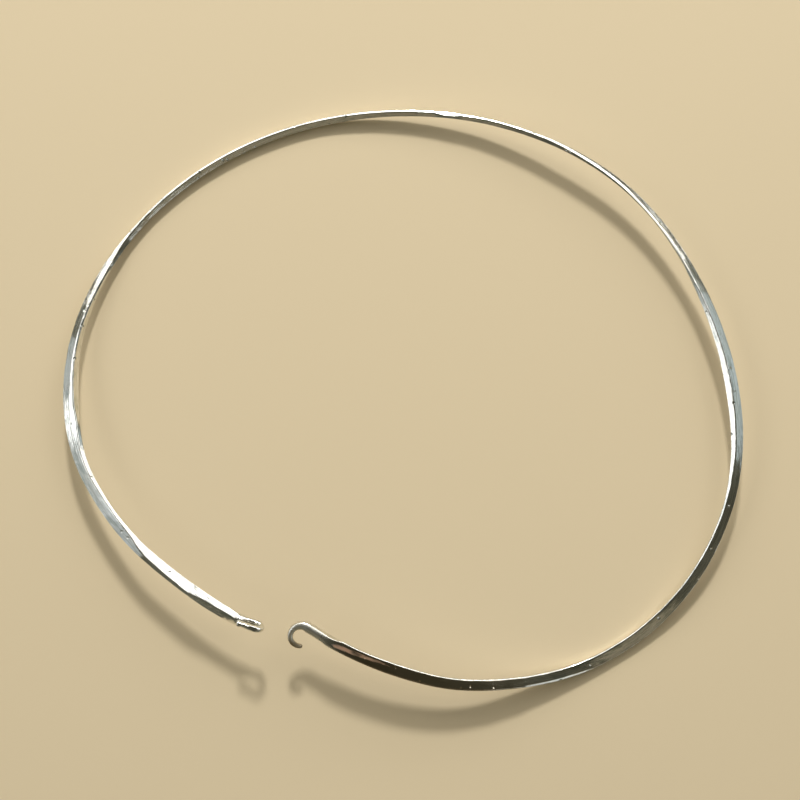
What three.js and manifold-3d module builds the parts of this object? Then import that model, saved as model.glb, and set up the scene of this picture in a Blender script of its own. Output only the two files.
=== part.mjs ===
// An open neck ring (torc) forged from one silver bar, in millimetres, +Z up.
// The ring lies loose. Two places of its underside touch the surface, at the upper left and the lower
// right, and the front of the ring and both of its ends spring clear of the surface.
// The bar's section is a soft lozenge: two slopes above meet in a ridge, and two below in another. It
// changes from broad to narrow and leans over as it goes round the neck.
// One end is drawn out into a hook, and the other is bent back on itself into a narrow eye.
// Bearings are degrees round the ring, seen from above, counter-clockwise from +X.
import * as THREE from 'three';
import Module from 'manifold-3d';
import { mergeVertices } from 'three/addons/utils/BufferGeometryUtils.js';

// The oval that the ring follows in plan.
const HALF_LENGTH = 70;
const HALF_BREADTH = 60;

// Where the bar ends and its hook and eye begin.
const HOOK_BEARING = 250;
const EYE_BEARING = 595;

// The bar. Along it, swell is how far its middle stands outside the oval, rise is how far its underside
// stands above the surface, broad and thick are its section, and lean is how far the outer edge is raised.
const FLAT_DEPTH = 0.12;
const ON_SURFACE = -FLAT_DEPTH;
const BAR = [
  { bearing: 251, swell: -9.3, rise: 7.2, broad: 2.8, thick: 2.4, lean: 38 },
  { bearing: 256, swell: -8, rise: 7, broad: 2.8, thick: 2.4, lean: 38 },
  { bearing: 261, swell: -6.5, rise: 6.8, broad: 2.8, thick: 2.4, lean: 38 },
  { bearing: 267, swell: -4.8, rise: 6.4, broad: 3, thick: 2.5, lean: 38 },
  { bearing: 273, swell: -2.9, rise: 5.8, broad: 3, thick: 2.5, lean: 38 },
  { bearing: 279, swell: -0.9, rise: 4.9, broad: 2.8, thick: 2.5, lean: 38 },
  { bearing: 285, swell: 0.5, rise: 3.9, broad: 2.8, thick: 2.5, lean: 38 },
  { bearing: 296, swell: 3, rise: 1.3, broad: 2.7, thick: 2.5, lean: 38 },
  { bearing: 304, swell: 4.4, rise: ON_SURFACE, broad: 2.7, thick: 2.5, lean: 38 },
  { bearing: 314, swell: 4.7, rise: ON_SURFACE, broad: 2.7, thick: 2.5, lean: 38 },
  { bearing: 322, swell: 4.2, rise: 0.7, broad: 2.6, thick: 2.4, lean: 38 },
  { bearing: 330, swell: 3.2, rise: 1.6, broad: 2.5, thick: 2.4, lean: 37 },
  { bearing: 341, swell: 1.3, rise: 2.8, broad: 2.2, thick: 2.3, lean: 30 },
  { bearing: 351, swell: -1, rise: 3.7, broad: 2.5, thick: 2.2, lean: 8 },
  { bearing: 361, swell: -3.2, rise: 4.1, broad: 2.9, thick: 2.2, lean: -3 },
  { bearing: 371, swell: -4.3, rise: 4.2, broad: 2.5, thick: 2.2, lean: 0 },
  { bearing: 379, swell: -4.5, rise: 4.3, broad: 2.2, thick: 2.2, lean: 5 },
  { bearing: 386, swell: -4.2, rise: 4.4, broad: 1.7, thick: 2.2, lean: 8 },
  { bearing: 395, swell: -3.4, rise: 4.5, broad: 1.5, thick: 2.2, lean: 4 },
  { bearing: 405, swell: -2.6, rise: 4.4, broad: 1.4, thick: 2.3, lean: -2 },
  { bearing: 417, swell: -2.2, rise: 4, broad: 1.2, thick: 2.4, lean: -10 },
  { bearing: 435, swell: -1.8, rise: 2.2, broad: 1.3, thick: 2.4, lean: -16 },
  { bearing: 455, swell: -1.7, rise: 0.6, broad: 1.5, thick: 2.4, lean: -17 },
  { bearing: 467, swell: -1.6, rise: ON_SURFACE, broad: 1.7, thick: 2.4, lean: -20 },
  { bearing: 489, swell: -1.6, rise: ON_SURFACE, broad: 1.7, thick: 2.4, lean: -22 },
  { bearing: 508, swell: -1.5, rise: ON_SURFACE, broad: 1.5, thick: 2.4, lean: -23 },
  { bearing: 518, swell: -1.3, rise: 0.7, broad: 2.1, thick: 2.3, lean: -20 },
  { bearing: 525, swell: -1.3, rise: 1.6, broad: 2.4, thick: 2.2, lean: -5 },
  { bearing: 532, swell: -1.3, rise: 2.6, broad: 2.7, thick: 2.2, lean: 10 },
  { bearing: 541, swell: -1.9, rise: 3.9, broad: 3.5, thick: 2.2, lean: 6 },
  { bearing: 550, swell: -2, rise: 5, broad: 2.7, thick: 2.3, lean: 24 },
  { bearing: 562, swell: -3.9, rise: 6, broad: 2.7, thick: 2.4, lean: 31 },
  { bearing: 569, swell: -4.9, rise: 6.4, broad: 2.5, thick: 2.4, lean: 0 },
  { bearing: 576, swell: -6, rise: 6.7, broad: 2.9, thick: 2.4, lean: -16 },
  { bearing: 583, swell: -6.5, rise: 7, broad: 3.1, thick: 2.4, lean: -16 },
  { bearing: 590, swell: -6.6, rise: 7.2, broad: 2.8, thick: 2.3, lean: -12 },
];
const EASE_ANGLE = 6;
const EASE_SAMPLES = 8;
const BAR_STEP = 2.2;
const NECK_STEPS = 4;

// The section's upper right quarter, as shares of half its breadth and half its thickness: the rounded
// edge, the slope with its slight crown, and the soft ridge.
const QUARTER = [[1, 0], [0.88, 0.26], [0.53, 0.59], [0.09, 0.97]];

// The hook, a wire drawn out of the bar towards its inner side and curled outward, with its point dipping.
const HOOK_NECK = 3.4;
const HOOK_SET = 0.2;
const HOOK_RUN = 2.7;
const HOOK_RADIUS = 2.36;
const HOOK_POINT_RADIUS = 2.05;
const HOOK_SWEEP = 206;
const HOOK_DIP = 1.2;
const HOOK_WIRE = 2.1;
const HOOK_POINT_WIRE = 0.66;
const HOOK_THINNING = 0.6;
const HOOK_STEPS = 20;

// The eye: the wire leaves the bar on its inner side, turns through a half circle and comes back above
// the bar's outer side.
const EYE_NECK = 2.6;
const EYE_WIRE = 0.95;
const EYE_SET = 0.75;
const EYE_RUN = 1.9;
const EYE_OPENING = 1.4;
const EYE_RETURN = 3.5;
const EYE_CLOSING = 0.4;
const EYE_TILT = 64;
const EYE_STEPS = 10;

// Each wire's end is rounded over this length.
const TIP_LENGTH = 0.35;
const TIP_STEPS = 3;

const UP = new THREE.Vector3(0, 0, 1);
const radians = THREE.MathUtils.degToRad;
const mix = THREE.MathUtils.lerp;

function section() {
  const corners = QUARTER.map(([x, y]) => new THREE.Vector2(x / 2, y / 2));
  const turned = (list, sx, sy) => list.map((p) => new THREE.Vector2(sx * p.x, sy * p.y));
  const back = [...corners].reverse();
  return [
    ...corners,
    ...turned(back, -1, 1).slice(0, -1),
    ...turned(corners, -1, -1),
    ...turned(back, 1, -1).slice(0, -1),
  ];
}

function straight(field, bearing) {
  const last = BAR.length - 2;
  const next = BAR.findIndex((row) => row.bearing > bearing);
  const start = next < 0 ? last : Math.min(Math.max(next - 1, 0), last);
  const [from, to] = [BAR[start], BAR[start + 1]];
  return mix(from[field], to[field], (bearing - from.bearing) / (to.bearing - from.bearing));
}

// The value along the bar, eased so that it runs smoothly from one listed place to the next.
function eased(field, bearing) {
  let total = 0;
  let weights = 0;
  for (let i = -EASE_SAMPLES; i <= EASE_SAMPLES; i += 1) {
    const share = i / (EASE_SAMPLES + 1);
    const weight = 1 + Math.cos(Math.PI * share);
    total += weight * straight(field, bearing + share * EASE_ANGLE);
    weights += weight;
  }
  return total / weights;
}

function halfHeight(outline, place) {
  const lean = radians(place.lean);
  const heights = outline.map((p) => p.x * place.broad * Math.sin(lean) + p.y * place.thick * Math.cos(lean));
  return Math.max(...heights);
}

// How much of the forged section is left at a distance from a neck: none at the wire, all past the neck.
const forged = (distance, neck) => THREE.MathUtils.smoothstep(distance, 0, neck);

function reach(bearing) {
  const turn = radians(bearing);
  const oval = 1 / Math.hypot(Math.cos(turn) / HALF_LENGTH, Math.sin(turn) / HALF_BREADTH);
  return oval + eased('swell', bearing);
}

// The bar's bearings, evenly apart, and closer together along both necks.
function barBearings() {
  const hookNeck = HOOK_BEARING + THREE.MathUtils.radToDeg(HOOK_NECK / reach(HOOK_BEARING));
  const eyeNeck = EYE_BEARING - THREE.MathUtils.radToDeg(EYE_NECK / reach(EYE_BEARING));
  const between = (from, to, count) => Array.from({ length: count }, (_, i) => mix(from, to, i / count));
  return [
    ...between(HOOK_BEARING, hookNeck, NECK_STEPS),
    ...between(hookNeck, eyeNeck, Math.round((eyeNeck - hookNeck) / BAR_STEP)),
    ...between(eyeNeck, EYE_BEARING, NECK_STEPS),
    EYE_BEARING,
  ];
}

function barPlaces(outline) {
  return barBearings().map((bearing) => {
    const radius = reach(bearing);
    const toHook = radians(bearing - HOOK_BEARING) * radius;
    const toEye = radians(EYE_BEARING - bearing) * radius;
    const nearHook = toHook < toEye;
    const shape = nearHook ? forged(toHook, HOOK_NECK) : forged(toEye, EYE_NECK);
    const wire = nearHook ? HOOK_WIRE : EYE_WIRE;
    const middle = radius - (nearHook ? HOOK_SET : EYE_SET) * (1 - shape);
    const full = {
      broad: eased('broad', bearing),
      thick: eased('thick', bearing),
      lean: eased('lean', bearing),
    };
    const height = eased('rise', bearing) + halfHeight(outline, full);
    return {
      point: new THREE.Vector3(middle * Math.cos(radians(bearing)), middle * Math.sin(radians(bearing)), height),
      broad: mix(wire, full.broad, shape),
      thick: mix(wire, full.thick, shape),
      lean: full.lean,
      round: 1 - shape,
    };
  });
}

const wirePlace = (point, wire, lean) => ({ point, broad: wire, thick: wire, lean, round: 1 });

// A wire's last places, drawn in to a rounded end.
function roundedTip(point, along, wire, lean) {
  return Array.from({ length: TIP_STEPS }, (_, i) => {
    const share = (i + 1) / (TIP_STEPS + 0.3);
    const there = point.clone().addScaledVector(along, share * TIP_LENGTH);
    return wirePlace(there, wire * Math.sqrt(1 - share * share), lean);
  });
}

// The hook's places from the bar's end out to its point.
function hookPlaces(end, next) {
  const along = end.point.clone().sub(next.point).normalize();
  const left = UP.clone().cross(along).normalize();
  const start = end.point.clone().addScaledVector(along, HOOK_RUN);
  const centre = start.clone().addScaledVector(left, HOOK_RADIUS);
  const places = [wirePlace(start.clone().lerp(end.point, 0.5), HOOK_WIRE, end.lean)];
  for (let i = 0; i <= HOOK_STEPS; i += 1) {
    const share = i / HOOK_STEPS;
    const turn = radians(HOOK_SWEEP) * share;
    const radius = mix(HOOK_RADIUS, HOOK_POINT_RADIUS, share);
    const point = centre.clone()
      .addScaledVector(left, -radius * Math.cos(turn))
      .addScaledVector(along, radius * Math.sin(turn))
      .addScaledVector(UP, -HOOK_DIP * share * share);
    places.push(wirePlace(point, mix(HOOK_WIRE, HOOK_POINT_WIRE, share ** HOOK_THINNING), end.lean));
  }
  const [before, last] = places.slice(-2);
  const outward = last.point.clone().sub(before.point).normalize();
  return [...places, ...roundedTip(last.point, outward, HOOK_POINT_WIRE, end.lean)];
}

// The eye's places from the bar's end round to the returned tip.
function eyePlaces(end, previous) {
  const along = end.point.clone().sub(previous.point).normalize();
  const outward = along.clone().cross(UP).normalize();
  const tilt = radians(EYE_TILT);
  const across = outward.multiplyScalar(Math.cos(tilt)).addScaledVector(UP, Math.sin(tilt));
  const radius = (EYE_OPENING + EYE_WIRE) / 2;
  const at = (run, offset) => end.point.clone().addScaledVector(along, run).addScaledVector(across, offset);
  const places = [];
  const half = EYE_STEPS / 2;
  for (let i = 1; i < half; i += 1) {
    const share = i / half;
    places.push(at(EYE_RUN * share, 0));
  }
  for (let i = 0; i <= EYE_STEPS; i += 1) {
    const turn = Math.PI * (i / EYE_STEPS);
    places.push(at(EYE_RUN + radius * Math.sin(turn), radius - radius * Math.cos(turn)));
  }
  for (let i = 1; i <= half; i += 1) {
    const share = i / half;
    const closing = EYE_CLOSING * THREE.MathUtils.smoothstep(share, 0, 1);
    places.push(at(EYE_RUN - EYE_RETURN * share, 2 * radius - closing));
  }
  const [before, last] = places.slice(-2);
  const backward = last.clone().sub(before).normalize();
  return [
    ...places.map((point) => wirePlace(point, EYE_WIRE, end.lean)),
    ...roundedTip(last, backward, EYE_WIRE, end.lean),
  ];
}

// A straight bar of the section, with one step for each place, bent so that it follows the places.
function bentBar(outline, places) {
  const steps = places.length - 1;
  const bar = new THREE.ExtrudeGeometry(new THREE.Shape(outline), { depth: 1, steps, bevelEnabled: false });
  const position = bar.getAttribute('position');
  const frames = places.map((place, i) => {
    const before = places[Math.max(i - 1, 0)].point;
    const after = places[Math.min(i + 1, steps)].point;
    const along = after.clone().sub(before).normalize();
    const side = along.clone().cross(UP).normalize();
    return { side, top: side.clone().cross(along) };
  });
  const corner = new THREE.Vector3();
  for (let i = 0; i < position.count; i += 1) {
    corner.fromBufferAttribute(position, i);
    const index = steps - Math.round(corner.z * steps);
    const place = places[index];
    const { side, top } = frames[index];
    const grow = mix(1, 0.5 / Math.hypot(corner.x, corner.y), place.round);
    const x = corner.x * grow * place.broad;
    const y = corner.y * grow * place.thick;
    const lean = radians(place.lean);
    corner.copy(place.point)
      .addScaledVector(side, x * Math.cos(lean) - y * Math.sin(lean))
      .addScaledVector(top, x * Math.sin(lean) + y * Math.cos(lean));
    position.setXYZ(i, corner.x, corner.y, corner.z);
  }
  return bar;
}

const wasm = await Module();
wasm.setup();

function solid(geometry) {
  const bare = geometry.clone();
  bare.deleteAttribute('normal');
  bare.deleteAttribute('uv');
  const merged = mergeVertices(bare);
  return new wasm.Manifold(new wasm.Mesh({
    numProp: 3,
    vertProperties: new Float32Array(merged.getAttribute('position').array),
    triVerts: new Uint32Array(merged.getIndex().array),
  }));
}

function geometryOf(manifold) {
  const { vertProperties, triVerts } = manifold.getMesh();
  const geometry = new THREE.BufferGeometry();
  geometry.setAttribute('position', new THREE.BufferAttribute(vertProperties, 3));
  geometry.setIndex(new THREE.BufferAttribute(triVerts, 1));
  geometry.computeVertexNormals();
  return geometry;
}

// Everything below the surface that the ring lies on, which is where its underside is worn flat.
function belowSurface() {
  const size = 4 * HALF_LENGTH;
  return new THREE.BoxGeometry(size, size, HALF_BREADTH).translate(0, 0, -HALF_BREADTH / 2);
}

const outline = section();
const bar = barPlaces(outline);
const hook = hookPlaces(bar[0], bar[1]);
const eye = eyePlaces(bar.at(-1), bar.at(-2));
const places = [...hook.reverse(), ...bar, ...eye];
const ring = geometryOf(solid(bentBar(outline, places)).subtract(solid(belowSurface())));
ring.computeBoundingBox();
const middle = ring.boundingBox.getCenter(new THREE.Vector3());
ring.translate(-middle.x, -middle.y, 0);

const silver = new THREE.MeshStandardMaterial({ color: 0xcfd0c8, roughness: 0.16, metalness: 1 });
const torc = new THREE.Mesh(ring, silver);
torc.name = 'torc';

const part = new THREE.Group();
part.add(torc);
export default part;
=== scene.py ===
import math

import bmesh
import bpy
import numpy as np
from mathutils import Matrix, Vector, noise


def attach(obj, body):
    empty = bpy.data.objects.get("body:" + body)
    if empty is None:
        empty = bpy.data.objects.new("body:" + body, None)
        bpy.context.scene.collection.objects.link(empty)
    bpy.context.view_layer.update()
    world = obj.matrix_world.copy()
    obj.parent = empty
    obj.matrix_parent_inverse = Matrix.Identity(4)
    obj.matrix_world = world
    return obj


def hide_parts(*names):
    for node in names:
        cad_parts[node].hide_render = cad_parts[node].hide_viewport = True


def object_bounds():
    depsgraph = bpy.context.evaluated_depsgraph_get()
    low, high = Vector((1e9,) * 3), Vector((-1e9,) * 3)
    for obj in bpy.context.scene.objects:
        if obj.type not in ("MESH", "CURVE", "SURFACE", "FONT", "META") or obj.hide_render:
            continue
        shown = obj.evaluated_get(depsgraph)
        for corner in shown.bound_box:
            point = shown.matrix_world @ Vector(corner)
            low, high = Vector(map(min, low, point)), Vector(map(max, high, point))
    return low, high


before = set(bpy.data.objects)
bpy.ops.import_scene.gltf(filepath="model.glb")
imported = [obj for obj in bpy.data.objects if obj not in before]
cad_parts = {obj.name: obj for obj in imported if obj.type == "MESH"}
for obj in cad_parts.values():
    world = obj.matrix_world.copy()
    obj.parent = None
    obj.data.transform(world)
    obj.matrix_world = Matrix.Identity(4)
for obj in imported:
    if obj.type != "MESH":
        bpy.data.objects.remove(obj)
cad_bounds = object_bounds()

# The torc. One springy bar of silver, hammered to a soft lozenge section, then filed and polished by hand.
# Its ends are drawn out into wires: one is curled into a hook, and the other is folded back on itself
# into a narrow eye. The file left long facets on top, which slant more or less as the bar twists.
# Bearings are degrees round the ring from its right, counted on past 360 on the way from hook to eye.
WELD = 1e-6
CLASP_GAP_BEARING = 240
CREASE_LIMIT = math.radians(40)
ROUNDING_LEVELS = 2
CENTRE_BIN = 3.0
EDGE_BIN = 1.5
BAR_START = 253.0
BAR_END = 593.0
BAR_FADE = 3.0
SIDE_SQUARENESS = 6.0
FACET_EDGE = 0.00004
EDGE_BELOW_FACET = 0.00006
EDGE_ABOVE_BOTTOM = 0.0004
INWARD_LEAN = 0.16
# Bearing; where the middle facet starts and ends, from 1 at the outer edge to -1 at the inner one;
# how far the outer, middle and inner facets slant outward, in degrees.
FACETS = [
    (250, -0.62, -0.62, 0, 0, -35),
    (258, -0.76, -0.76, 0, 0, -35),
    (275, -0.78, -0.78, 0, 0, -35),
    (292.8, -0.75, -0.75, 0, 0, -35),
    (293.6, 0.60, -0.74, 22, 3, -35),
    (303, 0.66, -0.70, 21, 8, -35),
    (305, 0.95, -0.68, 20, 10, -35),
    (310, 1.00, -0.68, 20, 12, -35),
    (318, 1.00, -0.68, 20, 12, -35),
    (324, 1.00, -0.66, 20, 5, -35),
    (338, 1.00, -0.58, 20, 5, -34),
    (344, 1.00, -0.46, 22, 12, -32),
    (350, 1.00, -0.24, 28, 22, -30),
    (356, 1.00, -0.10, 28, 27, -29),
    (362, 1.00, -0.02, 29, 29, -29),
    (370, 1.00, -0.10, 31, 31, -29),
    (376, 1.00, -0.20, 33, 32, -34),
    (381, 0.10, -0.40, 35, 24, -48),
    (385, 0.05, -0.50, 36, 24, -50),
    (390, -0.16, -0.70, 37, 24, -50),
    (395, -0.24, -0.78, 37, 24, -48),
    (400, -0.12, -0.70, 37, 24, -42),
    (405, 0.20, -0.46, 37, 24, -30),
    (410, 0.46, -0.28, 37, 24, -25),
    (415, 0.64, -0.12, 37, 24, -25),
    (420, 0.90, 0.20, 36, 24, -25),
    (430, 1.00, 0.38, 36, 24, -25),
    (438, 1.00, 0.40, 36, 24, -25),
    (439.5, 1.00, -0.30, 36, 20, -40),
    (442.5, 1.00, -0.30, 36, 20, -40),
    (444, 1.00, 0.40, 36, 24, -25),
    (450, 1.00, 0.42, 36, 24, -25),
    (470, 1.00, 0.48, 36, 24, -25),
    (490, 0.95, 0.45, 36, 24, -25),
    (505, 0.92, 0.42, 36, 24, -26),
    (510, 0.88, 0.30, 36, 24, -28),
    (513, 0.80, -0.20, 36, 24, -32),
    (517, 0.60, -0.55, 35, 23, -52),
    (520, 0.40, -0.50, 38, 22, -54),
    (523, 0.22, -0.38, 33, 22, -55),
    (527, 0.04, -0.26, 30, 21, -55),
    (537, 0.15, -0.22, 29, 21, -55),
    (541, 0.20, -0.30, 23, 19, -55),
    (544, 0.30, -0.55, 22, 19, -52),
    (551, -0.30, -0.30, 29, 29, -26),
    (560, -0.46, -0.46, 29, 29, -26),
    (566, -0.35, -0.35, 29, 29, -26),
    (571, 0.42, 0.42, 33, 33, -22),
    (582, 0.62, 0.62, 35, 35, -22),
    (586, 0.10, 0.10, 36, 36, -24),
    (592, 0.05, 0.05, 36, 36, -24),
]
WAVE_LENGTH = 0.0045
WAVE_WIDTH = 0.0016
WAVE_DEPTH = 0.000012
LUMP_LENGTH = 0.0008
LUMP_DEPTH = 0.00014
HOOK_WIRE_END = 254.0
HOOK_BLEND = 4.0
HOOK_FULLNESS = 0.00008
HOOK_TIP_FULLNESS = 0.00008
HOOK_TIP_BEARING = 249.5
HOOK_TIP_START = -0.0482
HOOK_TIP_BLEND = 0.0012
EYE_WIRE_START = 592.5
EYE_FULLNESS = 0.00016
EYE_DULLNESS = 0.25
# The stain that the last heating left by the hook: bearing, its middle across the bar, half its breadth.
STAIN = [(253.5, 0.2, 0.0), (254.5, 0.2, 0.4), (260, -0.10, 0.36), (265, -0.30, 0.24), (267.5, -0.15, 0.0)]
STAIN_EDGE = 0.12
# Where dark brown is painted on the polish: a painted dark reflection, partly taken for heat-darkened
# polish. Bearing, and how much.
DARK_REFLECTION_AND_HEAT_SHADE = [(252, 0.0), (257, 0.8), (262, 1.0), (280, 0.9), (292.8, 0.55), (293.6, 0.25), (300, 0.0)]
SHADE_INNER_END = -0.76
SHADE_EDGE = 0.08
PITS_PER_METRE = 220
PIT_RADIUS = 0.07


def sides_of(node):
    """The solid's own corners and long sides, with the slanting line across each side taken out."""
    bm = bmesh.new()
    bm.from_mesh(node.data)
    bmesh.ops.remove_doubles(bm, verts=bm.verts, dist=WELD)
    longest = {face: max(face.edges, key=lambda edge: edge.calc_length()) for face in bm.faces}
    slants = [
        edge for edge in bm.edges
        if len(edge.link_faces) == 2
        and all(longest[face] == edge for face in edge.link_faces)
        and edge.calc_face_angle() < CREASE_LIMIT
    ]
    bmesh.ops.dissolve_edges(bm, edges=slants, use_verts=False)
    bmesh.ops.recalc_face_normals(bm, faces=bm.faces)
    return bm


def rounded(bm, name):
    """A smooth bar from the cornered one."""
    rough = bpy.data.meshes.new(name)
    bm.to_mesh(rough)
    bm.free()
    piece = bpy.data.objects.new(name, rough)
    bpy.context.scene.collection.objects.link(piece)
    smoothing = piece.modifiers.new("rounding", "SUBSURF")
    smoothing.levels = smoothing.render_levels = ROUNDING_LEVELS
    smooth = bpy.data.meshes.new_from_object(piece.evaluated_get(bpy.context.evaluated_depsgraph_get()))
    piece.modifiers.clear()
    piece.data = smooth
    smooth.name = name
    bpy.data.meshes.remove(rough)
    smooth.polygons.foreach_set("use_smooth", [True] * len(smooth.polygons))
    return piece


def bearings_of(points):
    """Each point's bearing round the ring, counted on from the hook."""
    bearing = np.degrees(np.arctan2(points[:, 1], points[:, 0])) % 360
    return np.where(bearing < CLASP_GAP_BEARING, bearing + 360, bearing)


def along_and_across(points):
    """Each point's place on the bar: how far along it, and how far outside and above its middle line."""
    bearing = bearings_of(points)
    reach = np.hypot(points[:, 0], points[:, 1])
    bins = np.round(bearing / CENTRE_BIN).astype(int)
    listed = np.unique(bins)
    middle_reach = np.array([reach[bins == each].mean() for each in listed])
    middle_height = np.array([points[bins == each, 2].mean() for each in listed])
    return np.column_stack([
        np.radians(bearing) * middle_reach.mean(),
        reach - np.interp(bearing, listed * CENTRE_BIN, middle_reach),
        points[:, 2] - np.interp(bearing, listed * CENTRE_BIN, middle_height),
    ])


def edge_lines(bearing, outside, height):
    """How far out and how high the bar's two edges run, and its top and underside, at each bearing."""
    bins = np.round(bearing / EDGE_BIN).astype(int)
    listed = np.unique(bins)
    found = []
    for each in listed:
        here = np.flatnonzero(bins == each)
        outer = here[np.argmax(outside[here])]
        inner = here[np.argmin(outside[here])]
        top, bottom = height[here].max(), height[here].min()
        found.append([outside[outer], height[outer], outside[inner], height[inner], top, bottom])
    table = np.array(found)
    return [np.interp(bearing, listed * EDGE_BIN, column) for column in table.T]


def ramped(distance, softness):
    """Nought below nought and the distance itself above it, with the corner eased."""
    return (distance + np.sqrt(distance ** 2 + softness ** 2)) / 2


def filed(points):
    """The bar cut to its facets, inside the outline and the height that it has."""
    bearing = bearings_of(points)
    height = points[:, 2]
    outside = along_and_across(points)[:, 1]
    outer, outer_height, inner, inner_height, top, bottom = edge_lines(bearing, outside, height)
    half = (outer - inner) / 2
    across = np.clip((outside - (outer + inner) / 2) / half, -1, 1)
    rows = np.array(FACETS)
    first, second, *slants = [np.interp(bearing, rows[:, 0], column) for column in rows[:, 1:].T]
    falls = [np.tan(np.radians(slant)) for slant in slants]
    outer_slope, slope, inner_slope = [fall / (1 - INWARD_LEAN * fall) for fall in falls]
    crest = top - np.maximum(0, -slope * (first - second) * half)

    def roof(place):
        past_first = ramped((place - first) * half, FACET_EDGE)
        past_second = ramped((second - place) * half, FACET_EDGE)
        return crest - slope * (place - second) * half - (outer_slope - slope) * past_first \
            + (inner_slope - slope) * past_second

    def edge(outer_end, inner_end):
        return inner_end + (outer_end - inner_end) * (across + 1) / 2

    lowest = bottom + EDGE_ABOVE_BOTTOM
    new_outer = np.maximum(np.minimum(outer_height, roof(1) - EDGE_BELOW_FACET), lowest)
    new_inner = np.maximum(np.minimum(inner_height, roof(-1) - EDGE_BELOW_FACET), lowest)
    old_edge = edge(outer_height, inner_height)
    new_edge = edge(new_outer, new_inner)
    squareness = (1 - np.abs(across) ** SIDE_SQUARENESS) ** (1 / SIDE_SQUARENESS)
    body = new_edge + (top - new_edge) * squareness
    cut = (body + roof(across) - np.sqrt((body - roof(across)) ** 2 + FACET_EDGE ** 2)) / 2
    cut = new_edge + ramped(cut - new_edge, FACET_EDGE / 2)
    upper = height >= old_edge
    lowered = height + (new_edge - old_edge) * np.clip((height - bottom) / (old_edge - bottom), 0, 1)
    fade = np.clip((bearing - BAR_START) / BAR_FADE, 0, 1) * np.clip((BAR_END - bearing) / BAR_FADE, 0, 1)
    new_height = height + fade * (np.where(upper, cut, lowered) - height)
    lean = fade * INWARD_LEAN * np.where(upper, new_height - old_edge, 0)
    return new_height, 1 - lean / np.hypot(points[:, 0], points[:, 1]), across


def stained(bearing, across, upper):
    """How far the heating stain covers each point, from 0 to 1."""
    rows = np.array(STAIN)
    middle, breadth = [np.interp(bearing, rows[:, 0], column, left=0, right=0) for column in rows[:, 1:].T]
    return np.where(upper, np.clip((breadth - np.abs(across - middle)) / STAIN_EDGE, 0, 1), 0)


def hammered(piece):
    """The facets, and on them the slow waves left by the hammer, which the polish followed."""
    mesh = piece.data
    points = np.empty(len(mesh.vertices) * 3)
    mesh.vertices.foreach_get("co", points)
    points = points.reshape(-1, 3)
    places = along_and_across(points)
    points[:, 2], shrinking, across = filed(points)
    points[:, :2] *= shrinking[:, None]
    mesh.vertices.foreach_set("co", points.ravel())
    mesh.update()
    normals = np.empty(points.size)
    mesh.vertices.foreach_get("normal", normals)
    heights = [noise.noise(Vector(spot)) for spot in places / (WAVE_LENGTH, WAVE_WIDTH, WAVE_WIDTH)]
    lumps = [noise.noise(Vector(spot)) for spot in points / LUMP_LENGTH]
    bearing = bearings_of(points)
    eye = np.clip(bearing - EYE_WIRE_START, 0, 1)
    hook = np.clip((HOOK_WIRE_END - bearing) / HOOK_BLEND, 0, 1)
    depths = WAVE_DEPTH * np.array(heights) + eye * (LUMP_DEPTH * np.array(lumps) + EYE_FULLNESS)
    normals = normals.reshape(-1, 3)
    points += normals * depths[:, None]
    tip = np.clip((HOOK_TIP_START - points[:, 1]) / HOOK_TIP_BLEND, 0, 1) * (bearing < HOOK_TIP_BEARING)
    points[:, :2] += normals[:, :2] * (hook * HOOK_FULLNESS + tip * HOOK_TIP_FULLNESS)[:, None]
    points[:, 2] = np.clip(points[:, 2], 0, cad_bounds[1][2])
    mesh.vertices.foreach_set("co", points.ravel())
    mesh.update()
    mesh.attributes.new("bar_place", "FLOAT_VECTOR", "POINT").data.foreach_set("vector", places.ravel())
    # Painted dark reflection: dark brown along the front facet, partly taken for heat-darkened polish, and
    # on the hook's tip, where it paints the shaded board's reflection.
    shade_rows = np.array(DARK_REFLECTION_AND_HEAT_SHADE)
    shade = np.interp(bearing, shade_rows[:, 0], shade_rows[:, 1]) * (1 - hook)
    shade = np.maximum(shade * np.clip((across - SHADE_INNER_END) / SHADE_EDGE, 0, 1), tip)
    amounts = {
        "wire_wear": np.maximum(eye * EYE_DULLNESS, hook),
        "heat_stain": stained(bearing, across, normals[:, 2] > 0),
        "dark_reflection_and_heat_shade": shade,
    }
    for name, amount in amounts.items():
        mesh.attributes.new(name, "FLOAT", "POINT").data.foreach_set("value", amount)


# The silver's colours, and its roughness, from the clean polish to the marks left by wear and heat, and the
# painted dark reflection.
CLEAN = (0.95, 0.95, 0.93)
WARM_FILM = (0.88, 0.86, 0.80)
DULL_PATCH = (0.68, 0.70, 0.66)
DARK_LINE = (0.55, 0.54, 0.48)
UNPOLISHED_WIRE = (0.74, 0.72, 0.65)
# The colour of the painted dark reflection, partly taken for heat-darkened polish.
DARK_REFLECTION_AND_HEAT_BROWN = (0.40, 0.33, 0.23)
COPPER_STAIN = (0.66, 0.42, 0.28)
POLISHED_ROUGHNESS = 0.10
RUBBED_ROUGHNESS = 0.20
WIRE_ROUGHNESS = 0.32
STAIN_ROUGHNESS = 0.55
# Each pattern: how many of its marks fill a metre, how it is squeezed along and across the bar, its detail.
FILM_PATTERN = (90, (1, 3, 3), 4)
RUBBED_PATTERN = (260, (1, 4, 4), 3)
RIPPLE_PATTERN = (700, (0.6, 1, 1), 2)
DULL_PATTERN = (900, (0.4, 1, 1), 3)
STAIN_PATTERN = (1400, (0.25, 1, 1), 3)
DENT_PATTERN = (2600, (0.4, 1, 1), 2)
LINE_PATTERN = (7000, (0.012, 1, 1), 2)
# Each relief: its strength and its depth.
LINE_RELIEF = (0.4, 0.00003)
DENT_RELIEF = (0.4, 0.00003)
RIPPLE_RELIEF = (0.5, 0.00010)
PIT_RELIEF = (0.8, 0.00008)
NONE = (0.0, 0.0, 0.0)
FULL = (1.0, 1.0, 1.0)


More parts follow.
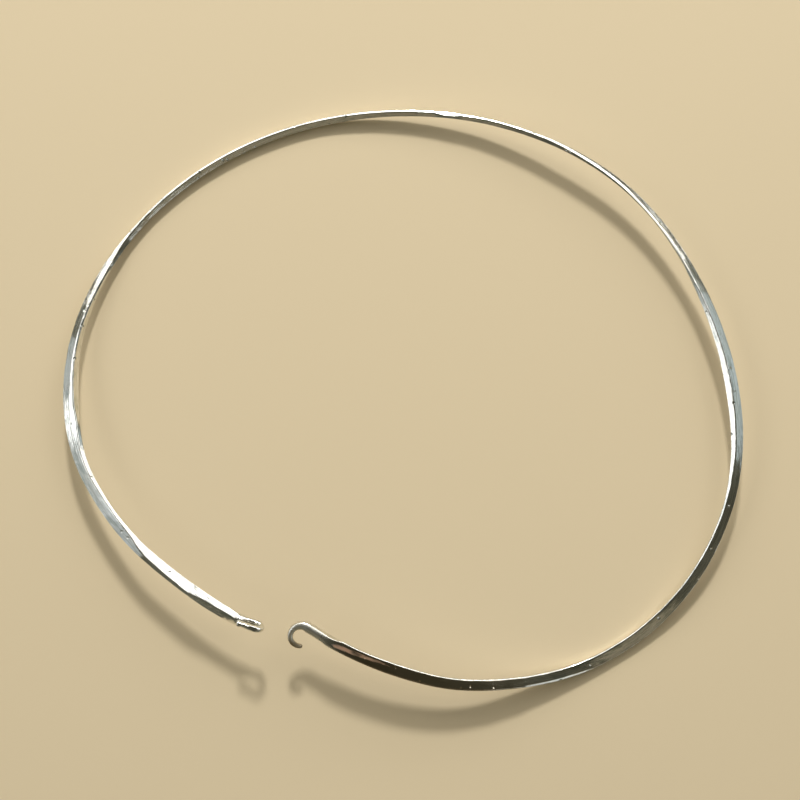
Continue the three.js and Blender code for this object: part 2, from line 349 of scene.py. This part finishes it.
def silver():
    """Polished silver: a thin warm film, fine lines along the bar, soft dents, duller wires, a stain and a
    painted dark reflection.
    """
    material = bpy.data.materials.new("polished_silver")
    material.use_nodes = True
    nodes = material.node_tree.nodes
    link = material.node_tree.links.new
    shader = nodes["Principled BSDF"]
    shader.inputs["Metallic"].default_value = 1.0

    def read(name, output):
        attribute = nodes.new("ShaderNodeAttribute")
        attribute.attribute_name = name
        return attribute.outputs[output]

    def texture(scale, stretch, detail):
        mapping = nodes.new("ShaderNodeMapping")
        mapping.inputs["Scale"].default_value = stretch
        grain = nodes.new("ShaderNodeTexNoise")
        grain.inputs["Scale"].default_value = scale
        grain.inputs["Detail"].default_value = detail
        link(read("bar_place", "Vector"), mapping.inputs["Vector"])
        link(mapping.outputs["Vector"], grain.inputs["Vector"])
        return grain.outputs["Fac"]

    def ramp(source, low, high, low_at, high_at):
        colours = nodes.new("ShaderNodeValToRGB")
        first, last = colours.color_ramp.elements
        first.position, first.color = low_at, (*low, 1)
        last.position, last.color = high_at, (*high, 1)
        link(source, colours.inputs["Fac"])
        return colours.outputs["Color"]

    def mixed(factor, first, second):
        mix = nodes.new("ShaderNodeMix")
        mix.data_type = "RGBA"
        link(factor, mix.inputs["Factor"])
        for source, socket in ((first, mix.inputs["A"]), (second, mix.inputs["B"])):
            if isinstance(source, tuple):
                socket.default_value = (*source, 1)
            else:
                link(source, socket)
        return mix.outputs["Result"]

    def product(first, second):
        times = nodes.new("ShaderNodeMath")
        times.operation = "MULTIPLY"
        link(first, times.inputs[0])
        link(second, times.inputs[1])
        return times.outputs["Value"]

    def bump(height, relief, below=None):
        node = nodes.new("ShaderNodeBump")
        node.inputs["Strength"].default_value, node.inputs["Distance"].default_value = relief
        link(height, node.inputs["Height"])
        if below:
            link(below, node.inputs["Normal"])
        return node.outputs["Normal"]

    wires = read("wire_wear", "Fac")
    speckle = ramp(texture(*STAIN_PATTERN), (0.25,) * 3, FULL, 0.35, 0.6)
    stain = product(read("heat_stain", "Fac"), speckle)
    film = ramp(texture(*FILM_PATTERN), WARM_FILM, CLEAN, 0.35, 0.65)
    film = mixed(ramp(texture(*DULL_PATTERN), NONE, FULL, 0.52, 0.66), film, DULL_PATCH)
    film = mixed(ramp(texture(*LINE_PATTERN), NONE, (0.8,) * 3, 0.5, 0.7), film, DARK_LINE)
    film = mixed(wires, film, UNPOLISHED_WIRE)
    # Painted dark reflection: the front facet and the hook's tip turn dark brown.
    film = mixed(read("dark_reflection_and_heat_shade", "Fac"), film, DARK_REFLECTION_AND_HEAT_BROWN)
    link(mixed(stain, film, COPPER_STAIN), shader.inputs["Base Color"])
    wear = ramp(texture(*RUBBED_PATTERN), (POLISHED_ROUGHNESS,) * 3, (RUBBED_ROUGHNESS,) * 3, 0.3, 0.75)
    wear = mixed(wires, wear, (WIRE_ROUGHNESS,) * 3)
    link(mixed(stain, wear, (STAIN_ROUGHNESS,) * 3), shader.inputs["Roughness"])

    lines = bump(texture(*LINE_PATTERN), LINE_RELIEF)
    dents = bump(texture(*DENT_PATTERN), DENT_RELIEF, lines)
    ripple = bump(texture(*RIPPLE_PATTERN), RIPPLE_RELIEF, dents)
    pits = nodes.new("ShaderNodeTexVoronoi")
    pits.voronoi_dimensions = "2D"
    pits.inputs["Scale"].default_value = PITS_PER_METRE
    link(read("bar_place", "Vector"), pits.inputs["Vector"])
    pitted = bump(ramp(pits.outputs["Distance"], NONE, FULL, 0.0, PIT_RADIUS), PIT_RELIEF, ripple)
    link(pitted, shader.inputs["Normal"])
    return material


torc = rounded(sides_of(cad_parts["torc"]), "torc_bar")
hammered(torc)
torc.data.materials.clear()
torc.data.materials.append(silver())
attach(torc, "root")
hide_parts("torc")

# The floor: a plain pale board, wide enough for every view.
FLOOR_HALF = 0.3
FLOOR_GAP = 0.00001
FLOOR_COLOUR = (0.66, 0.54, 0.35, 1.0)
FLOOR_ROUGHNESS = 0.75

bm = bmesh.new()
bmesh.ops.create_grid(bm, x_segments=1, y_segments=1, size=FLOOR_HALF)
bmesh.ops.translate(bm, verts=bm.verts, vec=(0, 0, -FLOOR_GAP))
floor_mesh = bpy.data.meshes.new("floor")
bm.to_mesh(floor_mesh)
bm.free()
floor = bpy.data.objects.new("floor", floor_mesh)
bpy.context.scene.collection.objects.link(floor)
floor_finish = bpy.data.materials.new("pale_floor")
floor_finish.use_nodes = True
floor_shader = floor_finish.node_tree.nodes["Principled BSDF"]
floor_shader.inputs["Base Color"].default_value = FLOOR_COLOUR
floor_shader.inputs["Roughness"].default_value = FLOOR_ROUGHNESS
floor.data.materials.append(floor_finish)

# The light: a lamp behind the ring, in a dim room that is a little paler low down, with windows behind
# and at both sides, and pale walls under them. Each pane stands upright, facing the ring. Its brightness
# is what it sends out from each square metre.
LAMP_DISTANCE = 1.2
LAMP_FROM_OVERHEAD = math.radians(53)
LAMP_SIZE = 0.14
LAMP_POWER = 10
ROOM_SHAPES = 3.0
ROOM_LIGHTER_LOW = 0.45
ROOM_DARK = (0.055, 0.052, 0.036, 1)
ROOM_PALE = (0.16, 0.16, 0.12, 1)
ROOM_PALE_AT = 0.75


def pane(name, bearing, distance, breadth, bottom, top, brightness, colour):
    light = bpy.data.lights.new(name, "AREA")
    light.shape = "RECTANGLE"
    light.size = breadth
    light.size_y = top - bottom
    light.energy = brightness * light.size * light.size_y
    light.color = colour
    stand = bpy.data.objects.new(name, light)
    bpy.context.scene.collection.objects.link(stand)
    turn = math.radians(bearing)
    inward = Vector((-math.cos(turn), -math.sin(turn), 0))
    stand.location = -inward * distance + Vector((0, 0, (bottom + top) / 2))
    stand.rotation_euler = inward.to_track_quat("-Z", "Y").to_euler()


pane("window_back", 90, 0.9, 3.0, 0.30, 1.07, 6, (1.0, 0.98, 0.94))
pane("window_back_right", 46, 1.0, 0.9, 0.75, 2.1, 4.5, (1.0, 0.99, 0.96))
pane("window_left", 178, 0.9, 0.95, 0.56, 1.15, 5, (0.97, 0.99, 1.0))
pane("wall_left", 188, 0.9, 1.0, 0.13, 0.52, 1.25, (0.86, 0.95, 1.0))
pane("wall_right", 2, 0.9, 0.7, 0.18, 0.65, 1.3, (0.80, 0.95, 1.0))
pane("wall_right_end", 31, 0.9, 0.25, 0.18, 0.65, 0.6, (0.88, 0.95, 0.85))
pane("window_right", 18, 0.8, 0.25, 0.75, 1.1, 6, (1.0, 1.0, 1.0))
pane("wall_front", 280, 0.7, 1.3, 0.55, 1.3, 0.45, (1.0, 0.82, 0.52))
pane("door_gap", 312, 0.9, 0.45, 0.56, 0.85, 2.2, (0.85, 0.93, 1.0))

lamp_light = bpy.data.lights.new("lamp", "AREA")
lamp_light.shape = "DISK"
lamp_light.size = LAMP_SIZE
lamp_light.energy = LAMP_POWER
lamp = bpy.data.objects.new("lamp", lamp_light)
lamp_direction = Vector((0, math.sin(LAMP_FROM_OVERHEAD), math.cos(LAMP_FROM_OVERHEAD)))
lamp.location = lamp_direction * LAMP_DISTANCE
lamp.rotation_euler = (-lamp_direction).to_track_quat("-Z", "Y").to_euler()
bpy.context.scene.collection.objects.link(lamp)

world = bpy.data.worlds.new("room")
bpy.context.scene.world = world
world.use_nodes = True
room_nodes = world.node_tree.nodes
directions = room_nodes.new("ShaderNodeTexCoord")
split = room_nodes.new("ShaderNodeSeparateXYZ")
shapes = room_nodes.new("ShaderNodeTexNoise")
shapes.inputs["Scale"].default_value = ROOM_SHAPES
lower_is_lighter = room_nodes.new("ShaderNodeMath")
lower_is_lighter.operation = "SUBTRACT"
shades = room_nodes.new("ShaderNodeValToRGB")
shades.color_ramp.elements[0].position = 0.0
shades.color_ramp.elements[0].color = ROOM_DARK
shades.color_ramp.elements[1].position = ROOM_PALE_AT
shades.color_ramp.elements[1].color = ROOM_PALE
height_share = room_nodes.new("ShaderNodeMath")
height_share.operation = "MULTIPLY"
height_share.inputs[1].default_value = ROOM_LIGHTER_LOW
join = world.node_tree.links.new
join(directions.outputs["Generated"], shapes.inputs["Vector"])
join(directions.outputs["Generated"], split.inputs["Vector"])
join(split.outputs["Z"], height_share.inputs[0])
join(shapes.outputs["Fac"], lower_is_lighter.inputs[0])
join(height_share.outputs["Value"], lower_is_lighter.inputs[1])
join(lower_is_lighter.outputs["Value"], shades.inputs["Fac"])
join(shades.outputs["Color"], room_nodes["Background"].inputs["Color"])

# The camera: straight above the ring, as the photograph was taken.
CAMERA_HEIGHT = 0.4
CAMERA_CENTRE = (-0.00063, -0.00017)
VIEW_WIDTH = 0.16536
SENSOR_WIDTH = 36

camera_data = bpy.data.cameras.new("camera")
camera_data.sensor_width = SENSOR_WIDTH
camera_data.angle = 2 * math.atan(VIEW_WIDTH / 2 / CAMERA_HEIGHT)
camera = bpy.data.objects.new("camera", camera_data)
camera.location = (*CAMERA_CENTRE, CAMERA_HEIGHT)
bpy.context.scene.collection.objects.link(camera)
bpy.context.scene.camera = camera
bpy.context.scene.view_settings.view_transform = "Standard"
